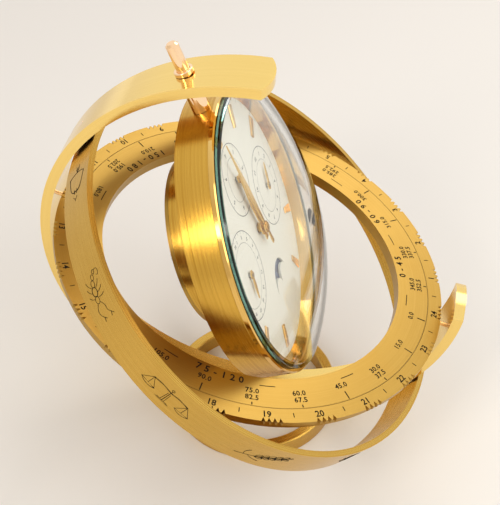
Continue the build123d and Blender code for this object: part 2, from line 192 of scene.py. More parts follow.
class Finish:
    # a material under construction
    def __init__(self, name, sockets):
        self.material = bpy.data.materials.new(name)
        self.material.use_nodes = True
        self.tree = self.material.node_tree
        self.shader = self.tree.nodes["Principled BSDF"]
        self.exit = self.tree.nodes["Material Output"]
        self.feed(sockets)

    def feed(self, sockets):
        for key, value in sockets.items():
            plug(self.tree, self.shader.inputs[key], value)

    def node(self, kind, settings, sockets, out=0):
        # any node: its settings first, then the values or links of its sockets
        node = self.tree.nodes.new(kind)
        for key, value in settings.items():
            setattr(node, key, value)
        for key, value in sockets.items():
            plug(self.tree, node.inputs[key], value)
        return Wire(self.tree, node.outputs[out])

    def objectPlace(self, place=None):
        spot = self.node("ShaderNodeTexCoord", {}, {}, "Object")
        if place is None:
            return spot
        inverse = place.inverted()
        return self.node("ShaderNodeMapping", {"vector_type": "POINT"}, {
            "Vector": spot, "Location": inverse.translation, "Rotation": inverse.to_euler()})

    def parts(self, vector):
        split = self.node("ShaderNodeSeparateXYZ", {}, {"Vector": vector}).socket.node
        return [Wire(self.tree, split.outputs[index]) for index in range(3)]

    def joined(self, x, y, z):
        return self.node("ShaderNodeCombineXYZ", {}, {"X": x, "Y": y, "Z": z})

    def noise(self, vector, scale, detail=2.0, **more):
        return self.node("ShaderNodeTexNoise", {}, {"Vector": vector, "Scale": scale, "Detail": detail, **more})

    def blend(self, factor, first, second):
        node = self.tree.nodes.new("ShaderNodeMix")
        node.data_type = "RGBA"
        plug(self.tree, node.inputs[0], factor)
        plug(self.tree, node.inputs[6], first)
        plug(self.tree, node.inputs[7], second)
        return Wire(self.tree, node.outputs[2])

    def bump(self, height, strength, distance):
        return self.node("ShaderNodeBump", {}, {"Height": height, "Strength": strength, "Distance": distance})

    def round(self, place):
        # radius, level and the cosine and sine of the turn, about a place's own Z
        x, y, z = self.parts(self.objectPlace(place))
        radius = (x * x + y * y).maths("SQRT")
        safe = radius.maths("MAXIMUM", 0.0001)
        return radius, z, x / safe, y / safe


# gilt brass

giltSettings = {"pale": (0.66, 0.415, 0.095), "deep": (0.55, 0.32, 0.055), "tarnish": (0.47, 0.23, 0.025),
                "cloudScale": 38.0, "broadScale": 0.16, "grooveDepth": 0.00006}


def brushedGilt(name, place, look):
    # lines of the brush run round the place's Z; 'across' and 'depth' count lines by radius and by level
    finish = Finish(name, {"Metallic": 1.0})
    radius, level, cosine, sine = finish.round(place)
    reachAlong = look.get("along", 1.5)
    lines = finish.joined(radius * look["across"], level * look["depth"], cosine * reachAlong)
    fine = finish.node("ShaderNodeTexNoise", {"noise_dimensions": "4D"}, {
        "Vector": lines, "W": sine * reachAlong, "Scale": 1.0, "Detail": 3.0, "Roughness": 0.7})
    broad = finish.node("ShaderNodeTexNoise", {"noise_dimensions": "4D"}, {
        "Vector": lines, "W": sine * reachAlong, "Scale": giltSettings["broadScale"], "Detail": 2.0})
    clouds = finish.noise(finish.objectPlace(), giltSettings["cloudScale"], 3.0)
    tone = fine * look["fineTone"] + broad * (1 - look["fineTone"])
    colour = finish.blend(tone.rise(0.25, 0.75), look.get("deep", giltSettings["deep"]),
                          look.get("pale", giltSettings["pale"]))
    colour = finish.blend(clouds.rise(0.52, 0.80) * look.get("tarnish", 0.25), colour, giltSettings["tarnish"])
    rough = look["rough"] + (fine - 0.5) * look["spread"] + (clouds - 0.5) * 0.10
    finish.feed({"Base Color": colour, "Roughness": rough,
                 "Normal": finish.bump(fine + broad * 0.5, look["bump"], giltSettings["grooveDepth"])})
    return finish.material


def polishedGilt(name, look):
    finish = Finish(name, {"Metallic": 1.0})
    spot = finish.objectPlace()
    clouds = finish.noise(spot, 30.0, 4.0)
    hairlines = finish.node("ShaderNodeTexNoise", {}, {
        "Vector": finish.node("ShaderNodeMapping", {}, {"Vector": spot, "Scale": (1.0, 9.0, 14.0),
                                                        "Rotation": (0.4, 0.3, 0.2)}),
        "Scale": 260.0, "Detail": 2.0})
    colour = finish.blend(clouds.rise(0.35, 0.75), look["colour"], look["worn"])
    rough = look["rough"] + hairlines.rise(0.55, 0.75) * 0.08 + clouds.rise(0.5, 0.8) * 0.06
    finish.feed({"Base Color": colour, "Roughness": rough, "Normal": finish.bump(hairlines, 0.04, 0.00003)})
    return finish.material


bandLook = {"across": 9000.0, "depth": 9000.0, "fineTone": 0.75, "rough": 0.27, "spread": 0.16, "bump": 0.16}
drumLook = {"across": 5600.0, "depth": 5600.0, "fineTone": 0.55, "rough": 0.24, "spread": 0.22, "bump": 0.24,
            "along": 1.0, "tarnish": 0.30, "pale": (0.74, 0.45, 0.085), "deep": (0.50, 0.26, 0.030)}
ringLook = {"across": 11000.0, "depth": 9000.0, "fineTone": 0.80, "rough": 0.33, "spread": 0.14, "bump": 0.14,
            "pale": (0.47, 0.290, 0.068), "deep": (0.40, 0.235, 0.046)}
meridianLook = {"across": 9000.0, "depth": 9000.0, "fineTone": 0.70, "rough": 0.14, "spread": 0.08,
                "bump": 0.05, "tarnish": 0.08, "pale": (0.95, 0.70, 0.24), "deep": (0.88, 0.61, 0.18)}
polishedLook = {"colour": (0.80, 0.54, 0.19), "worn": (0.70, 0.42, 0.11), "rough": 0.07}
spindleLook = {"colour": (1.0, 0.72, 0.45), "worn": (0.95, 0.62, 0.36), "rough": 0.06}
handLook = {"colour": (0.86, 0.60, 0.24), "worn": (0.72, 0.46, 0.14), "rough": 0.18}
markerLook = {"colour": (0.78, 0.52, 0.22), "worn": (0.62, 0.36, 0.12), "rough": 0.24}


# the other finishes

dialLook = {"silver": (0.80, 0.77, 0.68), "pale": (0.85, 0.83, 0.76), "rays": 60.0, "grain": 2600.0}


def dialFinish():
    finish = Finish("dialSilver", {"Metallic": 0.0, "Specular IOR Level": 0.35})
    radius, level, cosine, sine = finish.round(casePlace)
    rays = finish.node("ShaderNodeTexNoise", {}, {
        "Vector": finish.joined(cosine * dialLook["rays"], sine * dialLook["rays"], radius * 30.0),
        "Scale": 1.0, "Detail": 3.0})
    grain = finish.noise(finish.objectPlace(), dialLook["grain"], 2.0)
    colour = finish.blend(rays.rise(0.3, 0.7) * 0.6, dialLook["silver"], dialLook["pale"])
    finish.feed({"Base Color": colour, "Roughness": 0.34 + rays * 0.12 + grain * 0.05,
                 "Normal": finish.bump(rays * 0.6 + grain * 0.4, 0.06, 0.00004)})
    return finish.material


glassLook = {"clear": (0.985, 0.995, 0.99), "rim": (0.035, 0.17, 0.14), "shade": (0.97, 0.985, 0.975)}


def glassFinish():
    # clear glass with a dark green polished rim
    rim = reach("crystal", casePlace)
    finish = Finish("crystalGlass", {"Roughness": 0.0, "IOR": 1.46, "Transmission Weight": 1.0})
    radius, level, cosine, sine = finish.round(casePlace)
    atRim = radius.rise(rim["outer"] - 0.5 * mm, rim["outer"] - 0.2 * mm)
    haze = finish.noise(finish.objectPlace(), 90.0, 3.0)
    finish.feed({"Base Color": finish.blend(atRim, glassLook["clear"], glassLook["rim"]),
                 "Roughness": atRim * 0.10 + haze.rise(0.62, 0.9) * 0.015})
    letThrough = finish.node("ShaderNodeBsdfTransparent", {}, {"Color": glassLook["shade"]})
    shadowRay = finish.node("ShaderNodeLightPath", {}, {}, "Is Shadow Ray")
    both = finish.node("ShaderNodeMixShader", {}, {0: shadowRay, 1: Wire(finish.tree, finish.shader.outputs[0]),
                                                    2: letThrough})
    finish.tree.links.new(both.socket, finish.exit.inputs["Surface"])
    return finish.material


def paintFinish(name, colour, rough, fleck=0.15):
    # filled engraving and printing, and the painted shade of the hatch slot: a matt paint with a little unevenness
    finish = Finish(name, {"Metallic": 0.0, "Specular IOR Level": 0.08})
    grain = finish.noise(finish.objectPlace(), 3000.0, 3.0)
    lighter = tuple(min(1.0, part + 0.05) for part in colour)
    finish.feed({"Base Color": finish.blend(grain.rise(0.4, 0.8) * fleck * 4, colour, lighter),
                 "Roughness": rough + grain * 0.2, "Normal": finish.bump(grain, 0.1, 0.00003)})
    return finish.material


def steelFinish(name, colour, rough, place):
    finish = Finish(name, {"Metallic": 1.0})
    radius, level, cosine, sine = finish.round(place)
    turned = finish.noise(finish.joined(radius * 5200.0, level * 5200.0, cosine), 1.0, 2.0)
    smudge = finish.noise(finish.objectPlace(), 60.0, 3.0)
    darker = tuple(part * 0.72 for part in colour)
    finish.feed({"Base Color": finish.blend(smudge.rise(0.4, 0.75), colour, darker),
                 "Roughness": rough + turned * 0.16, "Normal": finish.bump(turned, 0.15, 0.00004)})
    return finish.material


def plasticFinish(name, colour, rough, grainScale):
    finish = Finish(name, {"Metallic": 0.0})
    grain = finish.node("ShaderNodeTexVoronoi", {}, {"Vector": finish.objectPlace(), "Scale": grainScale})
    cloud = finish.noise(finish.objectPlace(), 140.0, 3.0)
    darker = tuple(part * 0.8 for part in colour)
    finish.feed({"Base Color": finish.blend(cloud.rise(0.4, 0.7), colour, darker),
                 "Roughness": rough + cloud * 0.15, "Normal": finish.bump(grain, 0.25, 0.00005)})
    return finish.material


# 'groove' is painted shade: a darker colour laid between the wire's turns
coilLook = {"pitch": 0.16 * mm, "groove": (0.50, 0.16, 0.06), "copper": (0.92, 0.42, 0.20)}


def coilFinish():
    finish = Finish("coilCopper", {"Metallic": 1.0})
    x, y, z = finish.parts(finish.objectPlace(casePlace))
    turns = (x * (2 * math.pi / coilLook["pitch"])).maths("SINE") * 0.5 + 0.5
    patch = finish.noise(finish.objectPlace(), 300.0, 2.0)
    # the turns darken the base colour in the grooves between wires: painted shade, mixed with random patches
    finish.feed({"Base Color": finish.blend(turns * 0.6 + patch * 0.4, coilLook["groove"], coilLook["copper"]),
                 "Roughness": 0.25 + patch * 0.2, "Normal": finish.bump(turns, 0.6, 0.00008)})
    return finish.material


boardLook = {"resist": (0.02, 0.16, 0.06), "track": (0.16, 0.36, 0.12)}


def boardFinish():
    finish = Finish("boardGreen", {"Metallic": 0.0, "Coat Weight": 0.4})
    x, y, z = finish.parts(finish.objectPlace(casePlace))
    tracks = (x * 2600.0).maths("SINE").rise(0.55, 0.8) * (y * 900.0).maths("SINE").rise(-0.2, 0.1)
    grain = finish.noise(finish.objectPlace(), 700.0, 2.0)
    finish.feed({"Base Color": finish.blend(tracks, boardLook["resist"], boardLook["track"]),
                 "Roughness": 0.35 + grain * 0.2, "Normal": finish.bump(tracks + grain * 0.2, 0.3, 0.00005)})
    return finish.material


moonLook = {"night": (0.14, 0.17, 0.27), "dusk": (0.22, 0.26, 0.38), "speck": (0.75, 0.62, 0.35)}


def moonFinish():
    finish = Finish("moonBlue", {"Metallic": 0.25, "Coat Weight": 0.3})
    spot = finish.objectPlace()
    cloud = finish.noise(spot, 240.0, 4.0)
    speck = finish.node("ShaderNodeTexVoronoi", {}, {"Vector": spot, "Scale": 900.0})
    colour = finish.blend(cloud.rise(0.35, 0.7), moonLook["night"], moonLook["dusk"])
    finish.feed({"Base Color": finish.blend(1 - speck.rise(0.06, 0.12), colour, moonLook["speck"]),
                 "Roughness": 0.32 + cloud * 0.12, "Normal": finish.bump(cloud, 0.08, 0.00004)})
    return finish.material


# making pieces

def fresh(name):
    # the object that an operator has just made, named and alone in the selection
    piece = bpy.context.active_object
    piece.name = name
    piece.data.name = name
    return piece


def pickOnly(*pieces):
    bpy.ops.object.select_all(action="DESELECT")
    for piece in pieces:
        piece.select_set(True)
    bpy.context.view_layer.objects.active = pieces[0]


def applyAll(piece):
    pickOnly(piece)
    for modifier in list(piece.modifiers):
        bpy.ops.object.modifier_apply(modifier=modifier.name)


def settle(piece, place):
    # puts a piece modelled about the origin at its place, in its mesh
    piece.data.transform(place @ piece.matrix_world)
    piece.matrix_world = Matrix.Identity(4)
    return piece


def joinAll(pieces, name):
    pickOnly(*pieces)
    if len(pieces) > 1:
        bpy.ops.object.join()
    return fresh(name)


def dress(piece, material, slot, body, *replaced):
    piece.data.materials.clear()
    piece.data.materials.append(material)
    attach(piece, body)
    if replaced:
        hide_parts(*replaced)
    return piece


def copies(piece, places, name):
    made = []
    for place in places:
        twin = piece.copy()
        twin.data = piece.data.copy()
        bpy.context.scene.collection.objects.link(twin)
        settle(twin, place)
        made.append(twin)
    bpy.data.objects.remove(piece)
    return joinAll(made, name)


boldness = 0.022  # of a figure's size


def letters(words, size, proud, spread=1.0):
    # raised figures about the origin, upright along Y, as a closed mesh
    bpy.ops.object.text_add(location=(0, 0, 0))
    sign = bpy.context.active_object
    sign.data.body = words
    sign.data.size = size
    sign.data.align_x = "CENTER"
    sign.data.align_y = "CENTER"
    sign.data.space_character = spread
    sign.data.resolution_u = 2
    sign.data.offset = size * boldness
    sign.data.extrude = proud
    pickOnly(sign)
    bpy.ops.object.convert(target="MESH")
    return bpy.context.active_object


def bar(width, length, thick):
    # a small plate with eased upper edges, about the origin
    bpy.ops.mesh.primitive_cube_add(size=1, location=(0, 0, 0))
    plate = bpy.context.active_object
    bpy.ops.object.mode_set(mode="EDIT")
    bpy.ops.transform.resize(value=(width, length, thick))
    bpy.ops.mesh.bevel(offset=min(width, thick) * 0.2, segments=1)
    bpy.ops.object.mode_set(mode="OBJECT")
    return plate


def turnPlace(place, turn, radius, level, facing=0.0):
    # a spot on a ring about the place's Z; Y of the spot runs outwards, then 'facing' turns it
    return (place @ Matrix.Rotation(turn, 4, "Z") @ Matrix.Translation((radius, 0, level))
            @ Matrix.Rotation(-math.pi / 2 + facing, 4, "Z"))


def wireRing(name, radius, thick, place, level, steps=192):
    # a flat line round a place, half sunk in the face below it
    bpy.ops.mesh.primitive_torus_add(major_segments=steps, minor_segments=6, major_radius=radius,
                                     minor_radius=thick)
    ring = fresh(name)
    bpy.ops.object.mode_set(mode="EDIT")
    bpy.ops.transform.resize(value=(1, 1, 0.35))
    bpy.ops.object.mode_set(mode="OBJECT")
    return settle(ring, place @ Matrix.Translation((0, 0, level)))


sharpEdge = math.radians(40)


def easedCopy(node, width):
    # a CAD node's own shape with its edges lightly broken
    source = nodes[node]
    twin = source.copy()
    twin.data = source.data.copy()
    for key in list(twin.keys()):
        del twin[key]
    twin.parent = None
    twin.name = node + "_eased"
    bpy.context.scene.collection.objects.link(twin)
    pickOnly(twin)
    if twin.data.has_custom_normals:
        bpy.ops.mesh.customdata_custom_splitnormals_clear()
    bpy.ops.object.mode_set(mode="EDIT")
    bpy.ops.mesh.select_all(action="SELECT")
    bpy.ops.mesh.remove_doubles(threshold=0.000002)
    bpy.ops.mesh.dissolve_limited(angle_limit=math.radians(0.05))
    bpy.ops.object.mode_set(mode="OBJECT")
    edge = twin.modifiers.new("brokenEdge", "BEVEL")
    edge.width = width
    edge.segments = 2
    edge.limit_method = "ANGLE"
    edge.angle_limit = sharpEdge
    applyAll(twin)
    bpy.ops.object.shade_smooth_by_angle(angle=sharpEdge)
    twin.modifiers.new("evenNormals", "WEIGHTED_NORMAL").keep_sharp = True
    applyAll(twin)
    return twin


# scene

print("camera, lamps and floor")
aimPoint = addCamera()
addLamps(aimPoint)

# the floor's 'bright' and 'shade' colours are painted light and shade: the table is paler towards -X -Y and darker
# towards +X +Y
floorSettings = {"size": 6.0, "bright": (0.96, 0.93, 0.89), "shade": (0.80, 0.76, 0.72), "reach": 0.55,
                 "sweep": (0.93, 0.91, 0.88), "fadeFrom": 0.38, "fadeTo": 1.3, "level": -0.0002}


def addFloor():
    s = floorSettings
    bpy.ops.mesh.primitive_circle_add(vertices=96, radius=s["size"], fill_type="NGON",
                                      location=(0, 0, s["level"]))
    floor = fresh("floor")
    finish = Finish("paleTable", {"Roughness": 0.65, "Specular IOR Level": 0.25})
    x, y, z = finish.parts(finish.objectPlace())
    cloud = finish.noise(finish.objectPlace(), 6.0, 3.0)
    # painted light and shade: a colour sweep, paler towards -X -Y and darker towards +X +Y, with a little random
    # cloud
    sweep = (0.10 - x * 0.9 - y * 1.1 + cloud * 0.05) * (0.5 / s["reach"]) + 0.5
    grain = finish.noise(finish.objectPlace(), 900.0, 2.0)
    tone = finish.blend(sweep.rise(0.0, 1.0), s["shade"], s["bright"])
    # far from the clock the table runs into the white sweep, for what sees it and not for what it lights
    far = (x * x + y * y).maths("SQRT").rise(s["fadeFrom"], s["fadeTo"]) * sightRays(finish.tree)
    black = (0.0, 0.0, 0.0)
    finish.feed({"Base Color": finish.blend(far, tone, black), "Emission Strength": 1.0,
                 "Emission Color": finish.blend(far, black, s["sweep"]),
                 "Normal": finish.bump(grain, 0.02, 0.0001)})
    floor.data.materials.append(finish.material)


addFloor()

worldSettings = {"lamp": 0.74, "room": (0.80, 0.75, 0.68), "sky": (1.0, 0.985, 0.96)}


def addWorld():
    world = bpy.data.worlds.new("studio")
    bpy.context.scene.world = world
    world.use_nodes = True
    tree = world.node_tree
    background = tree.nodes["Background"]
    coords = tree.nodes.new("ShaderNodeTexCoord")
    split = tree.nodes.new("ShaderNodeSeparateXYZ")
    tree.links.new(coords.outputs["Generated"], split.inputs[0])
    x, y, z = (Wire(tree, split.outputs[index]) for index in range(3))
    # one room for every ray: a warm shade low down on one side, and white on the other and above
    sweep = (x * 0.55 - y * 0.35 + z * 0.75).rise(-0.12, 0.50)
    mix = tree.nodes.new("ShaderNodeMix")
    mix.data_type = "RGBA"
    plug(tree, mix.inputs[0], sweep)
    plug(tree, mix.inputs[6], worldSettings["room"])
    plug(tree, mix.inputs[7], worldSettings["sky"])
    tree.links.new(mix.outputs[2], background.inputs["Color"])
    strength = sightRays(tree) * (1 - worldSettings["lamp"]) + worldSettings["lamp"]
    tree.links.new(strength.socket, background.inputs["Strength"])


addWorld()

print("finishes")
ringSize = reach("hour_ring", ringPlace)
citySize = reach("city_ring", ringPlace)
finishes = {
    "meridian_band": brushedGilt("meridianGilt", spherePlace, meridianLook),
    "zodiac_band": brushedGilt("zodiacGilt", zodiacPlace, bandLook),
    "hour_ring": brushedGilt("hourRingGilt", ringPlace, ringLook),
    "city_ring": brushedGilt("cityRingGilt", ringPlace, ringLook),
    "case_drum": brushedGilt("drumGilt", casePlace, drumLook),
    "rear_housing": brushedGilt("housingGilt", casePlace, drumLook),
    "base_ring": brushedGilt("baseGilt", basePlace, bandLook),
    "bezel": polishedGilt("bezelGilt", polishedLook),
    "dial_flange": polishedGilt("flangeGilt", polishedLook),
    "pivot_spindle": polishedGilt("spindleGilt", spindleLook),
    "minute_hand": polishedGilt("handGilt", handLook),
    "applied_markers": polishedGilt("markerGilt", markerLook),
    "rear_cover": brushedGilt("coverGilt", casePlace, ringLook),
    "calendar_plate": brushedGilt("plateBrass", casePlace, bandLook),
    "crystal": glassFinish(),
    "dial": dialFinish(),
    "cover_screws": steelFinish("screwSteel", (0.62, 0.61, 0.60), 0.18, casePlace),
    "battery": steelFinish("cellSteel", (0.70, 0.69, 0.67), 0.22, casePlace),
    "movement_case": plasticFinish("movementPlastic", (0.045, 0.045, 0.05), 0.40, 3200.0),
    "setting_knob": plasticFinish("knobPlastic", (0.02, 0.02, 0.022), 0.30, 4200.0),
    "circuit_board": boardFinish(),
    "drive_coil": coilFinish(),
    "moon_disc": moonFinish(),
}
sharedFinish = {
    "band_rivets": "pivot_spindle", "ring_stays": "pivot_spindle", "spindle_collar": "pivot_spindle",
    "spindle_bush": "pivot_spindle", "hour_hand": "minute_hand", "hand_cap": "minute_hand",
    "day_hand": "minute_hand", "date_hand": "minute_hand", "month_hand": "minute_hand",
    "day_arbor": "cover_screws", "date_arbor": "cover_screws", "month_arbor": "cover_screws",
    "minute_arbor": "calendar_plate", "minute_wheel": "calendar_plate", "hour_wheel": "calendar_plate",
    "movement_lid": "movement_case", "coil_core": "cover_screws",
}
for name, node in nodes.items():
    material = finishes[name if name in finishes else sharedFinish[name]]
    if not node.material_slots:
        node.data.materials.append(material)
    for slot in node.material_slots:
        slot.material = material
inkAndShadeBlack = paintFinish("inkAndShadeBlack", (0.010, 0.007, 0.004), 0.6, 0.05)
inkGrey = paintFinish("inkGrey", (0.045, 0.043, 0.042), 0.6)
moonGold = polishedGilt("moonGold", handLook)

# broken edges on the large bands

print("broken edges")
easedSettings = {"zodiac_band": 0.22 * mm, "city_ring": 0.25 * mm,
                 "case_drum": 0.30 * mm, "rear_housing": 0.4 * mm, "base_ring": 0.25 * mm}
bodyOf = {node: body for body, members in frame["record"]["behaviour"]["bodies"].items() for node in members}
for node, width in easedSettings.items():
    eased = easedCopy(node, width)
    dress(eased, finishes[node], "brushed_gilt", bodyOf[node], node)

# the time ring's figures

print("time ring")
timeSettings = {"figureSize": 3.5 * mm, "figureRadius": 77.0 * mm, "tickRadius": 76.9 * mm,
                "tick": (0.36 * mm, 1.9 * mm), "ink": 0.02 * mm, "line": 0.06 * mm}


def buildTimeRing():
    s = timeSettings
    top = ringSize["high"]
    figures = []
    for hour in range(24):
        figure = letters(str(hour or 24), s["figureSize"], s["ink"])
        turn = 2 * math.pi * hour / 24
        figures.append(settle(figure, turnPlace(ringPlace, turn, s["figureRadius"], top, math.pi)))
    dress(joinAll(figures, "hour_figures"), inkAndShadeBlack, "black_plastic", "hour_ring")
    places = [turnPlace(ringPlace, 2 * math.pi * (hour + 0.5) / 24, s["tickRadius"], top) for hour in range(24)]
    tick = bar(s["tick"][0], s["tick"][1], 2 * s["ink"])
    dress(copies(tick, places, "half_hour_ticks"), inkAndShadeBlack, "black_plastic", "hour_ring")
    line = wireRing("dividing_line", ringSize["inner"] + 0.15 * mm, s["line"], ringPlace, top)
    dress(line, inkAndShadeBlack, "black_plastic", "hour_ring")


buildTimeRing()

citySettings = {"turned": -4.1, "tickOuter": 73.75 * mm, "longTick": 3.4 * mm, "shortTick": 1.2 * mm,
                "tickWide": 0.46 * mm, "smallSize": 2.9 * mm, "upperRow": 67.7 * mm, "lowerRow": 70.6 * mm,
                "groupSize": 3.9 * mm, "groupRadius": 64.0 * mm, "groupPitch": 2.9, "arcRadius": 64.9 * mm,
                "arcWide": 0.34 * mm, "arcTurn": 5.2}
doubleZones = (1, 2, 5, 8, 11, 14, 16, 19, 20, 22)
groupLabels = {18.0: "75-120", 1.25: "0-45", 3.2: "60-90", 6.4: "105-135", 10.0: "150-180", 14.0: "210-270"}
groupArcs = (19.06, 16.88, 0.16, 2.15, 4.4, 8.2, 11.8, 15.7, 21.0)


def buildCityRing():
    s = citySettings
    top = citySize["high"]
    ink = timeSettings["ink"]
    figures = []
    for zone in range(24):
        turn = math.radians(15 * zone + s["turned"])
        middle = (24 - zone) * 15 % 360
        rows = [(f"{middle:.1f}", s["upperRow"])]
        if zone in doubleZones:
            rows.append((f"{middle + 7.5:.1f}", s["lowerRow"]))
        for words, radius in rows:
            figure = letters(words, s["smallSize"], ink, 1.05)
            figures.append(settle(figure, turnPlace(ringPlace, turn, radius, top, math.pi)))
    for hour, words in groupLabels.items():
        for index, sign in enumerate(words):
            turn = math.radians(15 * hour + (index - (len(words) - 1) / 2) * s["groupPitch"])
            figure = letters(sign, s["groupSize"], ink)
            figures.append(settle(figure, turnPlace(ringPlace, turn, s["groupRadius"], top, math.pi)))
    dress(joinAll(figures, "zone_figures"), inkAndShadeBlack, "black_plastic", "sphere")
    marks = []
    for isLong in (True, False):
        length = s["longTick"] if isLong else s["shortTick"]
        zones = [zone for zone in range(24) if (zone not in doubleZones) == isLong]
        tick = bar(s["tickWide"], length, 2 * ink)
        places = [turnPlace(ringPlace, math.radians(15 * zone + s["turned"]), s["tickOuter"] - length / 2, top)
                  for zone in zones]
        marks.append(copies(tick, places, "zone_ticks"))
    steps = 6
    for hour in groupArcs:
        dash = bar(s["arcWide"], s["arcRadius"] * math.radians(s["arcTurn"]) / steps * 1.04, 2 * ink)
        places = [turnPlace(ringPlace, math.radians(15 * hour + s["arcTurn"] * ((step + 0.5) / steps - 0.5)),
                            s["arcRadius"], top, math.pi / 2) for step in range(steps)]
        marks.append(copies(dash, places, "zone_arc"))
    dress(joinAll(marks, "zone_marks"), inkAndShadeBlack, "black_plastic", "sphere")


buildCityRing()

# the zodiac band's figures: plain line drawings, u along the band and v across it, in millimetres

print("zodiac figures")
zodiacSize = reach("zodiac_band", zodiacPlace)
figureSettings = {"first": -162.0, "step": 29.4, "thin": 0.12 * mm, "thick": 0.165 * mm,
                  "along": 1.2, "across": 1.02}


def mirrored(strokes):
    return strokes + [[(-u, v) for u, v in stroke] for stroke in strokes]


def eye(u, v, r):
    return [(u + r * math.cos(a), v + r * math.sin(a)) for a in [math.pi / 4 * step for step in range(9)]]


